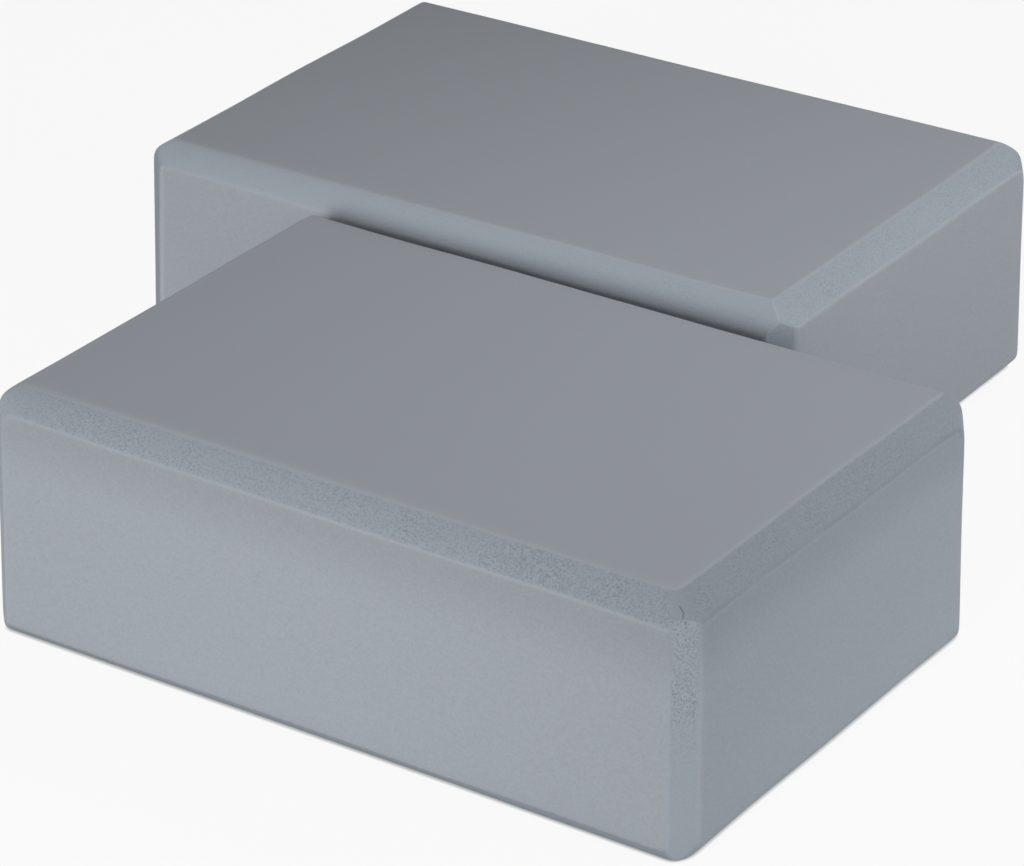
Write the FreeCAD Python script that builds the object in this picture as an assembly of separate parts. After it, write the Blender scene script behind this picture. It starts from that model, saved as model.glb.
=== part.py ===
import FreeCAD
import Part
import math
import os

# A pair of foam yoga blocks standing side by side on the floor.
# Each block is one piece of moulded closed-cell foam whose twelve edges were routed to a bevel.
# Frame: millimetres, +Z up. The origin is the centre of the front block's underside.
# +X runs along the front block's length, +Y runs from the front block to the rear one.

# Size of one block, both are alike
BLOCK_LENGTH = 229.0
BLOCK_WIDTH = 152.0
BLOCK_HEIGHT = 76.0

# Routed edges: a leg is what a bevel takes from each face, the crown is how far it bulges.
# The four edges that the block stands on have the narrower bevel.
BEVEL_LEG = 7.5
FOOT_BEVEL_LEG = 4.0
BEVEL_CROWN = 0.5

# Where the rear block stands: its sideways shift, the least gap to the front block and its turn
REAR_SHIFT = -70.0
REAR_GAP = 6.4
REAR_TURN = 0.7

UP = FreeCAD.Vector(0, 0, 1)


def bevel_points(half_wide, half_tall, side, level, leg):
    """Start, crest and end of the bevel in one corner of a section, travelling anticlockwise."""
    on_side = (side * half_wide, level * (half_tall - leg))
    on_level = (side * (half_wide - leg), level * half_tall)
    inset = leg / 2 - BEVEL_CROWN / math.sqrt(2)
    crest = (side * (half_wide - inset), level * (half_tall - inset))
    if side == level:
        return on_side, crest, on_level
    return on_level, crest, on_side


def bevelled_section(wide, tall, lower_leg, place):
    """Face of a rectangle with a crowned bevel in each corner; place turns (a, b) into a point."""
    corners = ((1, 1, BEVEL_LEG), (-1, 1, BEVEL_LEG), (-1, -1, lower_leg), (1, -1, lower_leg))
    bevels = []
    for side, level, leg in corners:
        points = bevel_points(wide / 2, tall / 2, side, level, leg)
        bevels.append([place(a, b) for a, b in points])
    edges = []
    for bevel, following in zip(bevels, bevels[1:] + bevels[:1]):
        edges.append(Part.Arc(*bevel).toShape())
        edges.append(Part.LineSegment(bevel[-1], following[0]).toShape())
    return Part.Face(Part.Wire(edges))


def bar_along_length():
    """Bar with the block's end section, carried along the length."""
    end = -BLOCK_LENGTH / 2
    middle = BLOCK_HEIGHT / 2
    section = bevelled_section(
        BLOCK_WIDTH,
        BLOCK_HEIGHT,
        FOOT_BEVEL_LEG,
        lambda a, b: FreeCAD.Vector(end, a, b + middle),
    )
    return section.extrude(FreeCAD.Vector(BLOCK_LENGTH, 0, 0))


def bar_along_width():
    """Bar with the block's long side section, carried along the width."""
    end = -BLOCK_WIDTH / 2
    middle = BLOCK_HEIGHT / 2
    section = bevelled_section(
        BLOCK_LENGTH,
        BLOCK_HEIGHT,
        FOOT_BEVEL_LEG,
        lambda a, b: FreeCAD.Vector(a, end, b + middle),
    )
    return section.extrude(FreeCAD.Vector(0, BLOCK_WIDTH, 0))


def bar_along_height():
    """Bar with the block's plan section, carried up the height."""
    section = bevelled_section(
        BLOCK_LENGTH,
        BLOCK_WIDTH,
        BEVEL_LEG,
        lambda a, b: FreeCAD.Vector(a, b, 0),
    )
    return section.extrude(FreeCAD.Vector(0, 0, BLOCK_HEIGHT))


def foam_block():
    """One block at the origin: what the three bars share has bevels that meet in mitred corners."""
    return bar_along_length().common(bar_along_width()).common(bar_along_height())


def rear_place():
    """Centre of the rear block's underside, so that its nearest corner keeps the least gap."""
    turn = math.radians(REAR_TURN)
    reach = BLOCK_WIDTH / 2 * math.cos(turn) + BLOCK_LENGTH / 2 * abs(math.sin(turn))
    return FreeCAD.Vector(REAR_SHIFT, BLOCK_WIDTH / 2 + REAR_GAP + reach, 0)


def rear_block():
    """The second block, turned a little and set behind the first."""
    block = foam_block()
    block.Placement = FreeCAD.Placement(rear_place(), FreeCAD.Rotation(UP, REAR_TURN))
    return block


os.makedirs("parts", exist_ok=True)
foam_block().exportStep("parts/front_block.step")
rear_block().exportStep("parts/rear_block.step")
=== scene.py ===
import math

import bpy
import numpy as np
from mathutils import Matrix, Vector


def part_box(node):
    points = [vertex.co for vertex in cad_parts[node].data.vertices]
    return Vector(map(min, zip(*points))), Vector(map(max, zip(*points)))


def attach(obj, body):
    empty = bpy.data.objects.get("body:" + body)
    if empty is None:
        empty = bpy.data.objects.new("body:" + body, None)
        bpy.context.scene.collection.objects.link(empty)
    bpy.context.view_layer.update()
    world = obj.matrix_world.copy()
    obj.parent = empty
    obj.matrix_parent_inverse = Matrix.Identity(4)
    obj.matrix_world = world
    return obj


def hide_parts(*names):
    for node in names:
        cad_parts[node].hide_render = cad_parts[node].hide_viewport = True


# A pair of moulded foam yoga blocks: smooth skin on the faces, open cut cells on the routed bevels.
# Shapes are worked out in millimetres in each block's own frame, then turned, placed and put in metres.

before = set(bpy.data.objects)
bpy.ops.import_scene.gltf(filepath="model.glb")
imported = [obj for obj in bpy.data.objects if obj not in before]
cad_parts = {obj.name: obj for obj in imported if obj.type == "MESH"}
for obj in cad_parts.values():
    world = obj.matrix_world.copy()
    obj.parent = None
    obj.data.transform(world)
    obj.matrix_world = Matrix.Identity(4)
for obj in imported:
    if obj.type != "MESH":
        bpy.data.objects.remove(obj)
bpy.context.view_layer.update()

# One millimetre in metres, the axes, the pairs of axes across an edge, the near upper corner's signs, and
# how far a height of one over a bevel reaches along a face
MM = 0.001
X, Y, Z = 0, 1, 2
EDGE_PAIRS = ((X, Y), (X, Z), (Y, Z))
NEAR_UPPER_CORNER = (1, -1, 1)
ALONG_FACE = math.sqrt(2)

# Routed bevels as the photograph shows them. What a top bevel takes from the top, along the long sides and
# at the ends; what it takes from the sides, and how much more of that at the right end than in the middle;
# what the near upright bevel takes from the long side and from the end; how much more the other upright
# bevels take at the top than at mid height; the crowns of top, upright and foot bevels
LONG_TOP_LEG = 8.0
END_TOP_LEG = 8.7
SIDE_LEG = 7.1
SIDE_LEG_LEAN = 0.7
NEAR_UPRIGHT_LEGS = (5.8, 8.2)
UPRIGHT_TAPER = 1.2
TOP_CROWN = 0.5
UPRIGHT_CROWN = 0.15
FOOT_CROWN = 0.15

# Softness: of bevels into faces, of level bevels into each other at the top and at the foot, and of upright
# bevels into level ones at the near upper corner and at the foot
EDGE_SOFTNESS = 0.35
MITRE_SOFTNESS = 0.15
FOOT_MITRE_SOFTNESS = 0.5
NEAR_CORNER_SOFTNESS = 0.2
FOOT_CORNER_SOFTNESS = 0.55

# The router's hand: how far a bevel's border strays, over what length, and the settling steps
BORDER_STRAY = 0.3
BORDER_STRAY_LENGTH = 38.0
SETTLING_STEPS = 6

# Mesh lines: legs that they are laid out for, the share of the way round a bevel at its middle, rows from
# there to its border and how they crowd towards it, lines beside the border, spacing along an edge, how many
# spacings a coarse one has, and how far into a face a straying border pulls the lines
LAYOUT_LEG = 7.5
LAYOUT_FOOT_LEG = 4.4
BEVEL_MIDDLE = 0.5
BEVEL_ROWS = 9
BEVEL_ROW_CROWDING = 1.4
BORDER_LINES = np.array([0.0, 0.25, 0.6, 1.1])
FINE_SPACING = 0.7
COARSE_STEP = 4
STRAY_REACH = 20.0

# Relief: raised lip on a bevel's border, its widths, where its middle is in shares of its width, how much it
# grows to the right and from patch to patch, lumps in the cut, slow waves in the moulded faces
LIP_HEIGHT = 0.06
LIP_WIDTH = 0.7
END_LIP_WIDTH = 1.0
UPRIGHT_LIP_WIDTH = 1.3
FOOT_LIP_WIDTH = 0.3
LIP_MIDDLE = 0.4
UPRIGHT_LIP_MIDDLE = -0.6
LIP_LEAN = 0.25
LIP_PATCH = 0.3
LIP_PATCH_LENGTH = 14.0
LUMP_HEIGHT = 0.04
LUMP_SIZES = (2.6, 1.4)
FACE_WAVE = 0.1
FACE_WAVE_LENGTH = 42.0

# How much the cut cells open up towards the right end and from patch to patch, between which distances from
# a mitre they open, and between which heights about the middle on an upright bevel, from how much
OPENING_LEAN = 0.12
OPENING_PATCH = 0.5
OPENING_PATCH_LENGTH = 9.0
MITRE_OPENING = (0.5, 3.5)
UPRIGHT_OPENING = (-14.0, 8.0)
UPRIGHT_CLOSED = 0.2

# Settings of the blocks, by key:
# seed: the start of its random draws
# tone: how light its foam is
# near_mitre, upper_corners: softness of the near upper mitre, and of the upper corners, left and far right
# cracked, corner_rim: whether the near upper corner is cracked, and how pale its edges are
# left_upright, far_upright: what these upright bevels take from the long side and from the end
# foot: what the foot bevels take from the underside, from the sides, and how much less at the near corner
# dulling: how much painted shade darkens the skin of the sides under the top bevels
# painted_cool_light: how strongly a painted cool cast of light tints the skin of faces turned to the right
# end towards the cut's cooler colour
# lips: how pale the lips are on the top, the long sides, the upright borders and the ends; a negative
# value, as on the front block's ends, paints shade, a dark line along the border
# open_cells: how open the cut cells are on upright, end and long bevels
# cut_and_painted_shades: how much light the cut gives back on upright, end and long bevels: its own
# darkness, and painted shade that differs from bevel to bevel
FRONT_BLOCK = {
    "seed": 11,
    "tone": 1.0,
    "near_mitre": 0.9,
    "upper_corners": (1.4, 1.4),
    "cracked": 1.0,
    "corner_rim": 0.0,
    "left_upright": (7.0, 6.6),
    "far_upright": (6.3, 8.9),
    "foot": (2.7, 3.7, 0.6),
    "under_top_painted_shade": 0.13,
    "painted_cool_light": 0.75,
    "lips": (0.3, 0.85, 0.15, -1.4),
    "open_cells": (0.95, 0.42, 0.72),
    "cut_and_painted_shades": (0.92, 0.76, 0.85),
}
REAR_BLOCK = {
    "seed": 47,
    "tone": 1.03,
    "near_mitre": MITRE_SOFTNESS,
    "upper_corners": (0.6, 1.3),
    "cracked": 0.0,
    "corner_rim": 0.12,
    "left_upright": (8.3, 7.9),
    "far_upright": (4.6, 6.2),
    "foot": (4.4, 4.4, 0.0),
    "under_top_painted_shade": 0.0,
    "painted_cool_light": 0.0,
    "lips": (0.6, 0.6, 1.6, 0.7),
    "open_cells": (0.3, 0.52, 0.2),
    "cut_and_painted_shades": (0.8, 0.96, 0.99),
}
REAR_TURN = math.radians(0.7)

# What is added to a block's seed for the random draws of its lips, lumps, waves and open cells
LIP_DRAW = 3
LUMP_DRAW = 4
WAVE_DRAW = 5
OPENING_DRAW = 6

# Painted shade: how far under a top bevel the sides' skin is darkened, how much darker the front left
# upright bevels are painted, and how dark the foot bevels, which face down, are painted: at the upright
# ones, at the ends and along the sides
UNDER_TOP_SHADE_REACH = 22.0
LEFT_UPRIGHT_PAINTED_SHADE = 0.16
FOOT_PAINTED_SHADES = (0.9, 1.0, 0.75)

# Foam, in linear colours: the moulded skin, how much cooler the cut is, and how it shines
SKIN = (0.287, 0.309, 0.340)
CUT_COOLING = (0.0, 0.014, 0.024)
ROUGHNESS = 0.7
SPECULAR = 0.25

# Foam grain, sizes in metres: the noise's detail and middle; cut cells, of which the noise's dark end shows;
# grain of the moulded sides; depth of the cells
NOISE_DETAIL = 2.0
NOISE_MIDDLE = 0.5
CELL_SIZE = 0.0006
CELL_RANGE = (-0.25, 0.12)
CELL_MEAN = 0.75
CELL_SHADE = 0.34
SKIN_GRAIN_SIZE = 0.00075
SKIN_GRAIN_SHADE = 0.22
GRAIN_HEIGHT = 0.00008

# Borders of the cut: how ragged, over what length in metres; in shares of a lip's width, from where to where
# the skin turns into cut and how far a lip reaches; and how much paler a full lip is than the skin
BORDER_RAGGEDNESS = 0.7
BORDER_RAGGED_LENGTH = 0.0014
SKIN_END = 0.3
CUT_START = 1.3
LIP_REACH = 1.0
LIP_SHADE = 0.13

# The crack down the near corner's mitre: its course as depths below the top and offsets from the mitre, its
# half width, how it fades at its ends and how dark it is. The crease over the near upright bevel: its half
# width, how far right of the mitre it starts and how dark it is
CRACK_COURSE = ((2.6, -0.5), (2.9, -0.15), (3.9, 0.25), (5.2, -0.5))
CRACK_HALF_WIDTH = 0.4
CRACK_FADE = 0.3
CRACK_SHADE = 0.35
CREASE_HALF_WIDTH = 0.4
CREASE_START = 0.6
CREASE_SHADE = 0.1

# Specks: a pit over the crease and a pale nick on the rear block's left border, with their places in metres
# and their shades
SPECKS = (((0.1116, -0.0725, 0.07), -0.35), ((-0.1735, 0.0833, 0.0692), 0.35))
SPECK_SIZE = 0.0008

# The photograph's camera: where it looks from, how far away, its offsets, its focal length in pixels and how
# near and far it sees
PHOTO_WIDTH = 1024
CAMERA_AZIMUTH = math.radians(33.937)
CAMERA_ELEVATION = math.radians(26.573)
CAMERA_DISTANCE = 1.3375
CAMERA_CENTRE = Vector((0.0, -0.001, 0.038))
CAMERA_SIDEWAYS = 0.009157
CAMERA_DOWNWARDS = -0.021907
CAMERA_FOCAL_PIXELS = 4841.2
CAMERA_NEAREST = 0.05
CAMERA_FARTHEST = 50.0
SENSOR_WIDTH = 36.0

# Studio: what the eye sees of the floor and sky, the floor's bounce, its share of the true shadow, how far
# and how deep the contact shadow is, and the plain light of the sky
BACKGROUND_WHITE = 0.96
FLOOR_SIZE = 8.0
FLOOR_BOUNCE = 0.7
FLOOR_SHADOW_SHARE = 0.04
CONTACT_REACH = 0.0013
CONTACT_SHADE = 0.4
CONTACT_OPEN = 0.8
SKY_STRENGTH = 0.1

# Softboxes: place, aim, size, power and spread
FRONT_SOFTBOX = ((0.1, -1.4, 0.5), (-0.06, -0.1, 0.04), 0.6, 1.4, math.radians(40))
LEFT_SOFTBOX = ((-1.2, -0.3, 0.35), (-0.1, -0.1, 0.04), 0.6, 0.46, math.radians(35))
RIGHT_SOFTBOX = ((1.2, 0.28, 0.35), (0.1, 0.25, 0.04), 0.6, 2.6, math.radians(100))
BACK_SOFTBOX = ((0.25, 0.9, 0.9), (0.2, 0.12, 0.04), 0.6, 0.6, math.radians(35))


def lattice_noise(points, cell, seed):
    """Smooth noise from -1 to 1: random values on a cubic lattice with that cell size.

    Each point blends the eight corners of its cell with smoothstep weights.
    """
    where = points / cell
    low = np.floor(where).astype(int)
    part = where - low
    part = part * part * (3 - 2 * part)
    low -= low.min(axis=0)
    values = np.random.default_rng(seed).uniform(-1, 1, low.max(axis=0) + 2)
    total = np.zeros(len(points))
    for corner in np.ndindex(2, 2, 2):
        weight = np.prod(np.where(corner, part, 1 - part), axis=1)
        total += weight * values[tuple((low + corner).T)]
    return total


def smooth_step(values, low, high):
    """0 at low, 1 at high, with a smooth rise between."""
    share = np.clip((values - low) / (high - low), 0, 1)
    return share * share * (3 - 2 * share)


def axis_lines(length, low_leg, high_leg):
    """Lattice lines along one axis: bevel slope, inset into the flat, and the nearer end's sign.

    Across half a bevel the share of the way round it, t, runs from a half at the middle to nothing
    at the border, crowded towards the border. The slope t / (1 - t) then runs from 1 to 0.
    On the flat the lines stand a fine spacing apart, closer beside the border.
    """
    flat = length - low_leg - high_leg
    margin = BORDER_LINES[-1]
    coarse_cells = round((flat - 2 * margin) / (FINE_SPACING * COARSE_STEP))
    inner = np.linspace(margin, flat - margin, coarse_cells * COARSE_STEP + 1)
    along = np.concatenate([BORDER_LINES[:-1], inner, flat - BORDER_LINES[-2::-1]])
    turn = BEVEL_MIDDLE * np.linspace(1, 0, BEVEL_ROWS, endpoint=False) ** BEVEL_ROW_CROWDING
    share = np.concatenate([turn, np.zeros_like(along), turn[::-1]])
    place = np.concatenate([np.zeros_like(turn), along, np.full_like(turn, flat)])
    inset = np.minimum(place, flat - place)
    side = np.where(place < flat / 2, -1.0, 1.0)
    return share / (1 - share), inset, side


def grid_quads(keys):
    """All quads of a grid of vertex keys, rows first, so that the normal is row axis cross column axis."""
    corners = (keys[:-1, :-1], keys[1:, :-1], keys[1:, 1:], keys[:-1, 1:])
    return np.stack(corners, axis=-1)


def wall_polygons(keys):
    """Polygons of one wall: a frame of fine quads, a core of coarse quads, and a ring that joins them.

    A polygon of the ring has fine vertices on its outer sides and coarse ones on its inner side.
    """
    border = BEVEL_ROWS + len(BORDER_LINES) - 1
    core = keys[border:-border, border:-border]
    coarse = core[::COARSE_STEP, ::COARSE_STEP]
    fine = grid_quads(keys)
    in_frame = np.ones(fine.shape[:2], bool)
    in_frame[border:-border, border:-border] = False
    polygons = [fine[in_frame], grid_quads(coarse[1:-1, 1:-1]).reshape(-1, 4)]
    for quarter in range(4):
        turned = np.rot90(core, quarter)
        inner = np.rot90(coarse, quarter)[1]
        first = np.arange(1, len(inner) - 2)
        outer = turned[0][first[:, None] * COARSE_STEP + np.arange(COARSE_STEP, -1, -1)]
        polygons.append(np.column_stack([inner[first], inner[first + 1], outer]))
        down = turned[: COARSE_STEP + 1, 0]
        back = turned[0, COARSE_STEP:0:-1]
        polygons.append(np.concatenate([down, inner[1:2], back])[None])
    return polygons


def block_polygons(counts):
    """Polygons of all six walls, as keys of the lattice points on the surface of a box of lines."""
    keys = np.arange(np.prod(counts)).reshape(counts)
    polygons = []
    for axis in (X, Y, Z):
        walls = np.moveaxis(keys, (axis, (axis + 1) % 3, (axis + 2) % 3), (0, 1, 2))
        polygons += wall_polygons(walls[-1])
        polygons += wall_polygons(walls[0].T)
    return polygons


def bevel_legs(points, half, sides, settings):
    """Legs of the bevels nearest each point: legs[:, u, o] lies along axis u, beside the edge of u and o.

    A top bevel takes more from the top than from the side, an upright one differs from corner to corner and
    widens upwards at all but the near one, and a foot bevel is narrow, more so towards the near corner.
    Noise along each edge makes its border stray.
    """
    legs = np.zeros((len(points), 3, 3))
    legs[:, X, Y], legs[:, Y, X] = NEAR_UPRIGHT_LEGS
    uprights = ((sides[:, Y] > 0, settings["far_upright"]), (sides[:, X] < 0, settings["left_upright"]))
    for there, (from_long, from_end) in uprights:
        widening = UPRIGHT_TAPER * points[there, Z] / half[Z]
        legs[there, X, Y] = from_long + widening
        legs[there, Y, X] = from_end + widening
    legs[:, X, Z] = END_TOP_LEG
    legs[:, Y, Z] = LONG_TOP_LEG
    legs[:, Z, :] = SIDE_LEG
    legs[:, Z, Y] += SIDE_LEG_LEAN * points[:, X] / half[X]
    below = sides[:, Z] < 0
    from_under, from_side, lean = settings["foot"]
    towards_near = (points / half * NEAR_UPPER_CORNER)[below]
    legs[below, Z, :] = from_side
    legs[below, X, Z] = from_under - lean * towards_near[:, Y]
    legs[below, Y, Z] = from_under - lean * towards_near[:, X]
    for u, o in EDGE_PAIRS + tuple(pair[::-1] for pair in EDGE_PAIRS):
        on_edge = points.copy()
        on_edge[:, [u, o]] = (sides * half)[:, [u, o]]
        legs[:, u, o] += BORDER_STRAY * lattice_noise(on_edge, BORDER_STRAY_LENGTH, settings["seed"] + u)
    return legs


def wall_heights(points, half, legs):
    """How far each point stands out from its three nearest faces and its three nearest bevels.

    A bevel is the plane through both its legs, raised by a crown that is a parabola across it.
    """
    depth = half - np.abs(points)
    level_crown = np.where(points[:, Z] > 0, TOP_CROWN, FOOT_CROWN)
    bevels = []
    for u, v in EDGE_PAIRS:
        across_u = depth[:, u] / legs[:, u, v]
        across_v = depth[:, v] / legs[:, v, u]
        steepness = np.hypot(1 / legs[:, u, v], 1 / legs[:, v, u])
        crown = level_crown if v == Z else UPRIGHT_CROWN
        crown = crown * np.clip(1 - (across_u - across_v) ** 2, 0, None)
        bevels.append((1 - across_u - across_v) / steepness - crown)
    return -depth, np.stack(bevels, axis=1)


def wall_normals(sides, legs):
    """Unit normals of the three nearest faces and the three nearest bevels of each point."""
    normals = np.zeros((len(sides), 6, 3))
    for axis in (X, Y, Z):
        normals[:, axis, axis] = sides[:, axis]
    for row, (u, v) in enumerate(EDGE_PAIRS, start=3):
        normals[:, row, u] = sides[:, u] / legs[:, u, v]
        normals[:, row, v] = sides[:, v] / legs[:, v, u]
    return normals / np.linalg.norm(normals, axis=2, keepdims=True)


def soft_maximum(heights, softness):
    """Soft maximum of each row, and each entry's share in it.

    It is the softness times the logarithm of the summed exponentials of height over softness.
    """
    top = heights.max(axis=1, keepdims=True)
    parts = np.exp((heights - top) / softness)
    total = parts.sum(axis=1, keepdims=True)
    return top + softness * np.log(total), parts / total


def near_corner(sides):
    """Whether each point's nearest corner is the near upper one."""
    return (sides == NEAR_UPPER_CORNER).all(axis=1)


def corner_softness(sides, settings):
    """Softness of each point's nearest mitre between level bevels, and of the upright bevel into them."""
    at_top = sides[:, Z] > 0
    near = near_corner(sides)
    mitre = np.where(near, settings["near_mitre"], MITRE_SOFTNESS)
    mitre = np.where(at_top, mitre, FOOT_MITRE_SOFTNESS)
    upright = np.where(sides[:, X] < 0, *settings["upper_corners"])
    upright = np.where(near, NEAR_CORNER_SOFTNESS, upright)
    upright = np.where(at_top, upright, FOOT_CORNER_SOFTNESS)
    return mitre[:, None], upright[:, None]


def level_and_cut(bevels, softness):
    """Heights of the blended level bevels, of all bevels blended, and each bevel's share in the latter."""
    mitre, upright = softness
    level, level_shares = soft_maximum(bevels[:, 1:], mitre)
    cut, shares = soft_maximum(np.column_stack([bevels[:, 0], level]), upright)
    return level, cut, np.column_stack([shares[:, 0], shares[:, 1:] * level_shares])


def settle(points, half, legs, sides, softness):
    """Moves points on to the block's soft surface and returns them with their normals.

    The surface is where the soft maximum of the heights over the faces and the blended bevels is zero.
    """
    walls = wall_normals(sides, legs)
    for _ in range(SETTLING_STEPS):
        faces, bevels = wall_heights(points, half, legs)
        _, cut, bevel_shares = level_and_cut(bevels, softness)
        height, shares = soft_maximum(np.column_stack([faces, cut]), EDGE_SOFTNESS)
        weights = np.column_stack([shares[:, :3], shares[:, 3:] * bevel_shares])
        slope = np.einsum("pw,pwa->pa", weights, walls)
        squared = (slope**2).sum(axis=1, keepdims=True)
        points = points - height * slope / squared
    return points, slope / np.sqrt(squared)


def lattice_points(lines, half, keys, settings):
    """Places of the lattice points before settling, with their legs and signs.

    From the slopes (a, b, c) of a point's three lines, q = (a, b, c) / (1 + the middle one): the largest
    is 1, so q lies on the nearest bevel or face. Depth under a face is the leg times (1 - q), plus the
    inset. Legs other than the layout's pull the lines of the flat with them, less towards the middle.
    """
    index = np.unravel_index(keys, [len(line[0]) for line in lines])
    slopes, insets, sides = (
        np.column_stack([line[part][i] for line, i in zip(lines, index)]) for part in range(3)
    )
    q = slopes / (1 + np.sort(slopes, axis=1)[:, 1:2])
    plain = np.full_like(q, LAYOUT_LEG)
    plain[sides[:, Z] < 0, Z] = LAYOUT_FOOT_LEG
    points = sides * (half - plain * (1 - q) - insets)
    legs = bevel_legs(points, half, sides, settings)
    weights = np.repeat(q[:, None, :], 3, axis=1)
    weights[:, [X, Y, Z], [X, Y, Z]] = 0
    weight = weights.sum(axis=2)
    weighed = weight > 0
    leg = np.where(weighed, (legs * weights).sum(axis=2) / np.where(weighed, weight, 1), plain)
    pull = np.clip(1 - insets / STRAY_REACH, 0, None) ** 2
    points -= sides * (leg - plain) * (1 - q) * pull
    return points, legs, sides


def border_lips(faces, bevels, at_foot, lips):
    """How pale each point's nearest border is, and how wide its lip and where its middle is.

    A lip lies inside the cut, except beside an upright bevel. The foot has a plain border. A negative
    paleness paints shade, a dark line along the border.
    """
    top, side, upright, end = lips
    pale = np.array([[0, end, 0], [upright, 0, side], [top, top, top]])
    widths = np.full((3, 3), LIP_WIDTH)
    widths[:, 0] = UPRIGHT_LIP_WIDTH
    widths[X, 1] = END_LIP_WIDTH
    face, bevel = faces.argmax(axis=1), bevels.argmax(axis=1)
    width = np.where(at_foot, FOOT_LIP_WIDTH, widths[face, bevel])
    return pale[face, bevel] * ~at_foot, width, np.where(bevel == 0, UPRIGHT_LIP_MIDDLE, LIP_MIDDLE)


def cell_opening(points, half, shares, mitre, at_foot, settings):
    """How open the cut cells are, by bevel, with patches.

    They open up towards the right end, close up at a mitre and down an upright bevel, and are closed at
    the foot.
    """
    low, high = UPRIGHT_OPENING
    rise = np.clip((points[:, Z] - low) / (high - low), UPRIGHT_CLOSED, 1)
    upright, end, long = settings["open_cells"]
    opening = shares @ np.array([0, end, long]) * smooth_step(np.abs(mitre), *MITRE_OPENING)
    opening += shares[:, 0] * upright * rise
    opening *= 1 + OPENING_LEAN * (points[:, X] / half[X] - 1)
    patches = lattice_noise(points, OPENING_PATCH_LENGTH, settings["seed"] + OPENING_DRAW)
    opening *= 1 + OPENING_PATCH * patches
    return opening * ~at_foot


def finish_marks(points, normals, half, legs, sides, softness, settings):
    """What the finish reads at each vertex.

    Distances into the cut are heights under the bevels less those under the faces, along the face. The
    shades of the cut, partly painted shade that differs by bevel, and the openness of its cells blend from
    bevel to bevel by their shares.
    """
    near = near_corner(sides)
    faces, bevels = wall_heights(points, half, legs)
    level, cut_height, shares = level_and_cut(bevels, softness)
    face = faces.max(axis=1)
    into_cut = (cut_height[:, 0] - face) * ALONG_FACE
    mitre = bevels[:, 1] - bevels[:, 2]
    at_foot = (sides[:, Z] < 0) & (bevels.argmax(axis=1) > 0)

    lip, lip_width, lip_middle = border_lips(faces, bevels, at_foot, settings["lips"])
    lip *= 1 + LIP_LEAN * (points[:, X] / half[X] - 1)
    lip *= 1 + LIP_PATCH * lattice_noise(points, LIP_PATCH_LENGTH, settings["seed"] + LIP_DRAW)

    # Cut's shade by bevel: its own darkness and painted shade that differs from bevel to bevel
    at_front_left = (sides[:, X] < 0) & (sides[:, Y] < 0)
    cut_and_painted_shade = shares @ np.array(settings["cut_and_painted_shades"])
    # Painted shade on the front left upright bevels
    cut_and_painted_shade -= LEFT_UPRIGHT_PAINTED_SHADE * shares[:, 0] * at_front_left
    # Painted shade on the foot bevels, which face down
    cut_and_painted_shade = np.where(at_foot, shares @ np.array(FOOT_PAINTED_SHADES), cut_and_painted_shade)

    upright_face = 1 - normals[:, Z] ** 2
    # Painted shade: the sides' skin darkened under the top bevels
    under_top = np.where(sides[:, Z] > 0, (level[:, 0] - face) * ALONG_FACE, -UNDER_TOP_SHADE_REACH)
    under_top_shade = settings["under_top_painted_shade"] * upright_face * smooth_step(under_top, -UNDER_TOP_SHADE_REACH, 0)
    return {
        "into_cut": into_cut,
        "lip": lip,
        "lip_width": lip_width,
        "lip_middle": lip_middle,
        "opening": cell_opening(points, half, shares, mitre, at_foot, settings),
        "tone": np.full(len(points), settings["tone"]),
        "cut_and_painted_shade": cut_and_painted_shade,
        "upright_face": upright_face,
        "skin_shade": 1 - under_top_shade,
        # painted cool cast of light on faces turned to the right end
        "painted_cool_cast": settings["painted_cool_light"] * np.clip(normals[:, X], 0, None),
        "mitre": mitre,
        "crease": bevels[:, 0] - level[:, 0],
        "cracked": settings["cracked"] * near,
        "corner_rim": settings["corner_rim"] * near,
    }


def relief(points, normals, marks, seed):
    """How far each vertex moves along its normal.

    Slow waves in the faces, the lip as a bell curve over the distance to the bevel's border, and noise of
    two sizes for the lumps of the cut. The underside has no waves.
    """
    into_cut = marks["into_cut"]
    cut = np.clip(into_cut / LIP_WIDTH, 0, 1)
    lips = marks["lip"] * np.exp(-((into_cut / marks["lip_width"]) ** 2))
    lumps = sum(lattice_noise(points, lump, seed + LUMP_DRAW) for lump in LUMP_SIZES) / len(LUMP_SIZES)
    lumps = cut * marks["opening"] * lumps
    waves = lattice_noise(points, FACE_WAVE_LENGTH, seed + WAVE_DRAW)
    waves = waves * np.clip(1 + normals[:, Z], 0, 1) * (1 - cut)
    return LIP_HEIGHT * lips + LUMP_HEIGHT * lumps + FACE_WAVE * waves


def block_surface(size, settings):
    """One block about its centre: vertices, polygons, and what the finish reads at each vertex.

    Its walls' lattice points settle on the soft surface and then move along their normals by the relief.
    """
    half = size / 2
    lines = [axis_lines(size[axis], LAYOUT_LEG, LAYOUT_LEG) for axis in (X, Y)]
    lines.append(axis_lines(size[Z], LAYOUT_FOOT_LEG, LAYOUT_LEG))
    groups = block_polygons([len(line[0]) for line in lines])
    keys, order = np.unique(np.concatenate([group.ravel() for group in groups]), return_inverse=True)
    points, legs, sides = lattice_points(lines, half, keys, settings)
    softness = corner_softness(sides, settings)
    points, normals = settle(points, half, legs, sides, softness)
    marks = finish_marks(points, normals, half, legs, sides, softness, settings)
    points = points + normals * relief(points, normals, marks, settings["seed"])[:, None]
    polygons = []
    start = 0
    for group in groups:
        polygons += order[start : start + group.size].reshape(group.shape).tolist()
        start += group.size
    return points, polygons, marks


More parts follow.
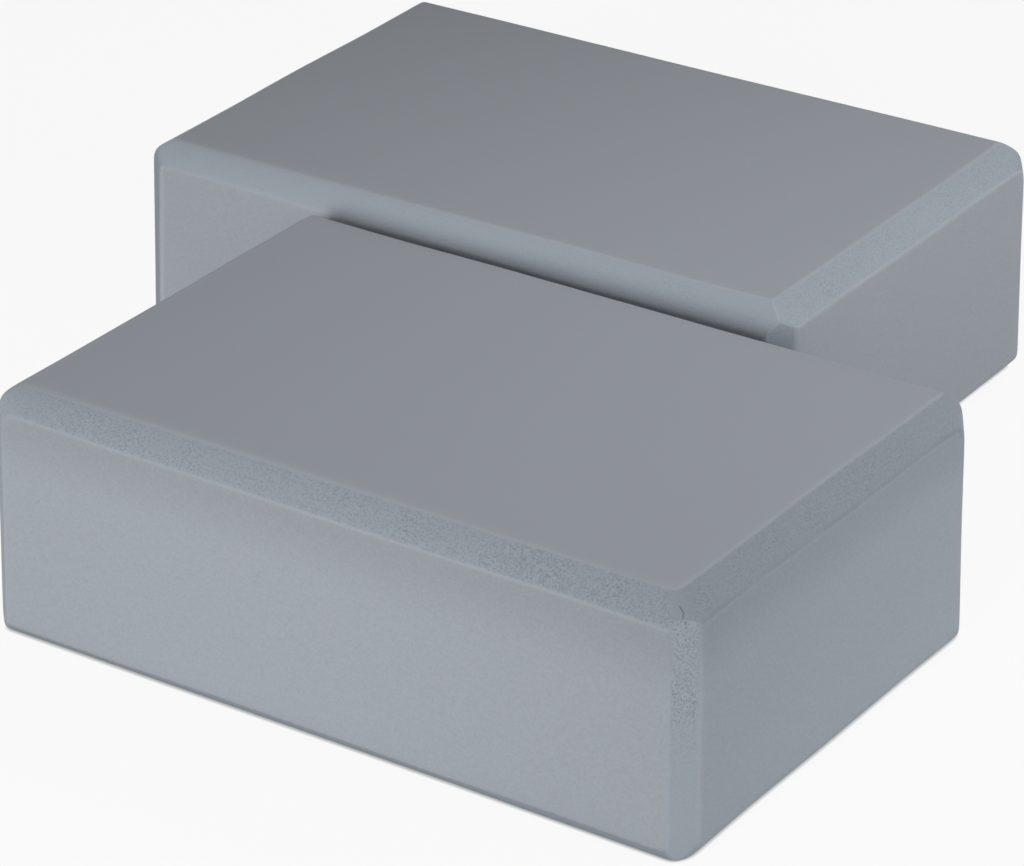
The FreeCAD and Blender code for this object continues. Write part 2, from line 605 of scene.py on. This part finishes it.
def block_object(name, size, centre, turn, settings):
    """A block as an object: its surface turned about the vertical and set about its centre."""
    points, polygons, marks = block_surface(size, settings)
    turned = np.array(
        [[math.cos(turn), math.sin(turn), 0], [-math.sin(turn), math.cos(turn), 0], [0, 0, 1]]
    )
    mesh = bpy.data.meshes.new(name)
    mesh.from_pydata((points @ turned * MM + centre).tolist(), [], polygons)
    for mark, values in marks.items():
        attribute = mesh.attributes.new(mark, "FLOAT", "POINT")
        attribute.data.foreach_set("value", values.astype(np.float32))
    mesh.shade_smooth()
    block = bpy.data.objects.new(name, mesh)
    bpy.context.scene.collection.objects.link(block)
    return block


def add_node(tree, kind, inputs=None, **settings):
    """A node of that kind with its settings and its inputs: a value, or another node's output."""
    node = tree.nodes.new(kind)
    for key, value in settings.items():
        setattr(node, key, value)
    for key, value in (inputs or {}).items():
        if isinstance(value, bpy.types.NodeSocket):
            tree.links.new(value, node.inputs[key])
        else:
            node.inputs[key].default_value = value
    return node


def ramp(tree, value, low, high):
    """Smooth step of a value: 0 at low, 1 at high."""
    inputs = {"Value": value, "From Min": low, "From Max": high}
    return add_node(tree, "ShaderNodeMapRange", inputs, interpolation_type="SMOOTHSTEP").outputs[0]


def maths(tree, operation, *values):
    """One sum, product or the like of values."""
    return add_node(tree, "ShaderNodeMath", dict(enumerate(values)), operation=operation).outputs[0]


def mix(tree, share, first, second):
    """Blend of two values by a share."""
    return add_node(tree, "ShaderNodeMix", {"Factor": share, "A": first, "B": second}).outputs[0]


def noise(tree, place, size):
    """Noise texture about zero with features of about that size in metres."""
    inputs = {"Vector": place, "Scale": 1 / size, "Detail": NOISE_DETAIL}
    grain = add_node(tree, "ShaderNodeTexNoise", inputs).outputs["Fac"]
    return maths(tree, "SUBTRACT", grain, NOISE_MIDDLE)


def mark(tree, name):
    """A value that the mesh carries at its vertices."""
    return add_node(tree, "ShaderNodeAttribute", attribute_name=name).outputs["Fac"]


def line(tree, distance, half_width):
    """1 on a line, falling to 0 at its half width."""
    return ramp(tree, maths(tree, "ABSOLUTE", distance), half_width, 0.0)


def crack_line(tree, place, top):
    """1 in the crack, which is where the offset from the mitre is near the course.

    The course is a curve over depth below the top, straight from each of its points to the next.
    """
    height = add_node(tree, "ShaderNodeSeparateXYZ", {0: place}).outputs["Z"]
    depth = maths(tree, "DIVIDE", maths(tree, "SUBTRACT", top, height), MM)
    depths, offsets = zip(*CRACK_COURSE)
    first, last, left, right = depths[0], depths[-1], min(offsets), max(offsets)
    along = add_node(tree, "ShaderNodeMapRange", {"Value": depth, "From Min": first, "From Max": last})
    curve = add_node(tree, "ShaderNodeFloatCurve", {"Value": along.outputs[0]})
    points = curve.mapping.curves[0].points
    spots = [
        ((down - first) / (last - first), (offset - left) / (right - left)) for down, offset in CRACK_COURSE
    ]
    for spot in spots[1:-1]:
        points.new(*spot)
    for point, spot in zip(points, spots):
        point.location = spot
        point.handle_type = "VECTOR"
    curve.mapping.update()
    course_inputs = {"Value": curve.outputs[0], "To Min": left, "To Max": right}
    course = add_node(tree, "ShaderNodeMapRange", course_inputs).outputs[0]
    begun = ramp(tree, depth, first, first + CRACK_FADE)
    inside = maths(tree, "MULTIPLY", begun, ramp(tree, depth, last, last - CRACK_FADE))
    aside = maths(tree, "SUBTRACT", mark(tree, "mitre"), course)
    return maths(tree, "MULTIPLY", inside, line(tree, aside, CRACK_HALF_WIDTH))


def specks(tree, place):
    """Sum of the specks' shades: each a dot that fades over its size."""
    total = 0.0
    for centre, shade in SPECKS:
        away = add_node(tree, "ShaderNodeVectorMath", {0: place, 1: centre}, operation="DISTANCE")
        dot = line(tree, away.outputs["Value"], SPECK_SIZE)
        total = maths(tree, "MULTIPLY_ADD", dot, shade, total)
    return total


def foam_material(top):
    """Closed-cell foam: fine moulded skin, flecked cut cells inside the bevels, pale lips between them.

    The skin runs over a bevel's border and ends a lip's width inside it. The colour is the skin's, cooler on
    the cut and, as a painted cool cast of light, on faces turned to the right end. It is scaled by a shade
    for the cut, partly painted shade that differs by bevel, by painted shade on the sides under the top
    bevels, and by the grain, the lips, the specks and the cracked corner.
    """
    material = bpy.data.materials.new("foam")
    material.use_nodes = True
    tree = material.node_tree
    shader = tree.nodes["Principled BSDF"]
    place = add_node(tree, "ShaderNodeTexCoord").outputs["Object"]

    ragged = noise(tree, place, BORDER_RAGGED_LENGTH)
    border = maths(tree, "MULTIPLY_ADD", ragged, BORDER_RAGGEDNESS, mark(tree, "into_cut"))
    border = maths(tree, "DIVIDE", border, mark(tree, "lip_width"))
    cut = ramp(tree, border, SKIN_END, CUT_START)
    lip = line(tree, maths(tree, "SUBTRACT", border, mark(tree, "lip_middle")), LIP_REACH)
    lip = maths(tree, "MULTIPLY", mark(tree, "lip"), lip)

    cells = maths(tree, "SUBTRACT", ramp(tree, noise(tree, place, CELL_SIZE), *CELL_RANGE), CELL_MEAN)
    fleck = maths(tree, "MULTIPLY", cells, mark(tree, "opening"))
    grain = maths(tree, "MULTIPLY", noise(tree, place, SKIN_GRAIN_SIZE), mark(tree, "upright_face"))

    cracked = maths(tree, "MULTIPLY", mark(tree, "cracked"), cut)
    crack = maths(tree, "MULTIPLY", crack_line(tree, place, top), cracked)
    crease = line(tree, mark(tree, "crease"), CREASE_HALF_WIDTH)
    mitre = line(tree, mark(tree, "mitre"), CREASE_HALF_WIDTH)
    mitre = maths(tree, "MULTIPLY", mitre, ramp(tree, mark(tree, "crease"), 0.0, -CREASE_HALF_WIDTH))
    rim = maths(tree, "MULTIPLY", maths(tree, "MAXIMUM", crease, mitre), mark(tree, "corner_rim"))
    crease = maths(tree, "MULTIPLY", crease, ramp(tree, mark(tree, "mitre"), 0.0, CREASE_START))
    crease = maths(tree, "MULTIPLY", crease, cracked)

    # The skin's grain on top of the painted shade under the top bevels
    skin_shade = maths(tree, "MULTIPLY_ADD", grain, SKIN_GRAIN_SHADE, mark(tree, "skin_shade"))
    # The cut's shade by bevel, partly painted shade, with the flecks of its cells
    cut_and_painted_shade = maths(tree, "MULTIPLY_ADD", fleck, CELL_SHADE, mark(tree, "cut_and_painted_shade"))
    shade = mix(tree, cut, skin_shade, cut_and_painted_shade)
    shade = maths(tree, "MULTIPLY_ADD", lip, LIP_SHADE, shade)
    shade = maths(tree, "MULTIPLY_ADD", crack, -CRACK_SHADE, shade)
    shade = maths(tree, "MULTIPLY_ADD", crease, -CREASE_SHADE, shade)
    shade = maths(tree, "MULTIPLY_ADD", rim, cut, shade)
    shade = maths(tree, "ADD", shade, specks(tree, place))
    shade = maths(tree, "MULTIPLY", shade, mark(tree, "tone"))

    # Cooler colour on the cut, and a painted cool cast of light on faces turned to the right end
    cooled = {0: maths(tree, "MAXIMUM", cut, mark(tree, "painted_cool_cast")), 1: CUT_COOLING, 2: SKIN}
    foam = add_node(tree, "ShaderNodeVectorMath", cooled, operation="MULTIPLY_ADD").outputs[0]
    colour = add_node(tree, "ShaderNodeVectorMath", {0: foam, "Scale": shade}, operation="SCALE")
    tree.links.new(colour.outputs[0], shader.inputs["Base Color"])
    shader.inputs["Roughness"].default_value = ROUGHNESS
    shader.inputs["Specular IOR Level"].default_value = SPECULAR

    height = maths(tree, "SUBTRACT", maths(tree, "MULTIPLY", cut, fleck), crack)
    bump = add_node(tree, "ShaderNodeBump", {"Distance": GRAIN_HEIGHT, "Height": height})
    tree.links.new(bump.outputs["Normal"], shader.inputs["Normal"])
    return material


def white_to_eye(tree):
    """1 for rays from the camera, or seen in a reflection or through glass; 0 for rays of bounced light."""
    path = add_node(tree, "ShaderNodeLightPath")
    seen = maths(tree, "MAXIMUM", path.outputs["Is Camera Ray"], path.outputs["Is Glossy Ray"])
    return maths(tree, "MAXIMUM", seen, path.outputs["Is Transmission Ray"])


def studio_floor():
    """Pale floor: white to the eye, dark close under the object, plain grey to bounced light.

    What the eye sees has a faint share of the true shadow, and a contact shadow where the object stands
    close over the floor.
    """
    half = FLOOR_SIZE / 2
    corners = [(-half, -half, 0), (half, -half, 0), (half, half, 0), (-half, half, 0)]
    mesh = bpy.data.meshes.new("floor")
    mesh.from_pydata(corners, [], [(0, 1, 2, 3)])
    floor = bpy.data.objects.new("floor", mesh)
    bpy.context.scene.collection.objects.link(floor)
    material = bpy.data.materials.new("floor_white")
    material.use_nodes = True
    tree = material.node_tree
    tree.nodes.clear()
    white = (BACKGROUND_WHITE,) * 3 + (1,)
    bounce = add_node(tree, "ShaderNodeBsdfDiffuse", {"Color": (FLOOR_BOUNCE,) * 3 + (1,)})
    shadow = add_node(tree, "ShaderNodeBsdfDiffuse", {"Color": white})
    openness = add_node(tree, "ShaderNodeAmbientOcclusion", {"Distance": CONTACT_REACH}).outputs["AO"]
    strength = mix(tree, ramp(tree, openness, 0.0, CONTACT_OPEN), CONTACT_SHADE, 1.0)
    plain = add_node(tree, "ShaderNodeEmission", {"Color": white, "Strength": strength})
    seen_parts = {0: FLOOR_SHADOW_SHARE, 1: plain.outputs[0], 2: shadow.outputs[0]}
    seen = add_node(tree, "ShaderNodeMixShader", seen_parts)
    both_parts = {0: white_to_eye(tree), 1: bounce.outputs[0], 2: seen.outputs[0]}
    both = add_node(tree, "ShaderNodeMixShader", both_parts)
    output = add_node(tree, "ShaderNodeOutputMaterial")
    tree.links.new(both.outputs[0], output.inputs["Surface"])
    mesh.materials.append(material)


def studio_world():
    """Sky: white to the eye, faint plain light on the object."""
    world = bpy.data.worlds.new("studio")
    world.use_nodes = True
    bpy.context.scene.world = world
    tree = world.node_tree
    tree.nodes.clear()
    sky = add_node(tree, "ShaderNodeBackground", {"Color": (1, 1, 1, 1), "Strength": SKY_STRENGTH})
    white = add_node(tree, "ShaderNodeBackground", {"Color": (1, 1, 1, 1), "Strength": BACKGROUND_WHITE})
    both_parts = {0: white_to_eye(tree), 1: sky.outputs[0], 2: white.outputs[0]}
    both = add_node(tree, "ShaderNodeMixShader", both_parts)
    output = add_node(tree, "ShaderNodeOutputWorld")
    tree.links.new(both.outputs[0], output.inputs["Surface"])


def softbox(name, place, aim, size, power, spread):
    """A square soft lamp at a place, turned to an aim. Its light keeps within the spread."""
    lamp = bpy.data.lights.new(name, "AREA")
    lamp.shape = "SQUARE"
    lamp.size = size
    lamp.energy = power
    lamp.spread = spread
    box = bpy.data.objects.new(name, lamp)
    box.visible_camera = False
    box.location = place
    box.rotation_mode = "QUATERNION"
    box.rotation_quaternion = (Vector(aim) - Vector(place)).to_track_quat("-Z", "Y")
    bpy.context.scene.collection.objects.link(box)


def photo_camera():
    """The photograph's camera: looks along its azimuth and elevation, moved in its own plane."""
    level = math.cos(CAMERA_ELEVATION)
    rise = math.sin(CAMERA_ELEVATION)
    ahead_x = math.sin(CAMERA_AZIMUTH)
    ahead_y = math.cos(CAMERA_AZIMUTH)
    back = Vector((ahead_x * level, -ahead_y * level, rise))
    right = Vector((ahead_y, ahead_x, 0.0))
    down = Vector((ahead_x * rise, -ahead_y * rise, -level))
    data = bpy.data.cameras.new("camera")
    data.sensor_width = SENSOR_WIDTH
    data.lens = SENSOR_WIDTH * CAMERA_FOCAL_PIXELS / PHOTO_WIDTH
    data.clip_start = CAMERA_NEAREST
    data.clip_end = CAMERA_FARTHEST
    camera = bpy.data.objects.new("camera", data)
    camera.location = (
        CAMERA_CENTRE + back * CAMERA_DISTANCE + right * CAMERA_SIDEWAYS + down * CAMERA_DOWNWARDS
    )
    camera.rotation_mode = "QUATERNION"
    camera.rotation_quaternion = (-back).to_track_quat("-Z", "Y")
    bpy.context.scene.collection.objects.link(camera)
    bpy.context.scene.camera = camera


def box_centre(node):
    """Centre of a node's box, which is the centre of a block, turned or not."""
    low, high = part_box(node)
    return np.array((low + high) / 2)


front_low, front_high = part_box("front_block")
block_size = np.array(front_high - front_low) / MM
foam = foam_material(front_high[Z])
blocks = (("front_block", FRONT_BLOCK, 0.0), ("rear_block", REAR_BLOCK, REAR_TURN))
for node, settings, turn in blocks:
    block = block_object(node + "_foam", block_size, box_centre(node), turn, settings)
    block.data.materials.append(foam)
    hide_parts(node)
    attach(block, node)

studio_floor()
studio_world()
softbox("front_softbox", *FRONT_SOFTBOX)
softbox("left_softbox", *LEFT_SOFTBOX)
softbox("right_softbox", *RIGHT_SOFTBOX)
softbox("back_softbox", *BACK_SOFTBOX)
photo_camera()
bpy.context.scene.view_settings.view_transform = "Standard"
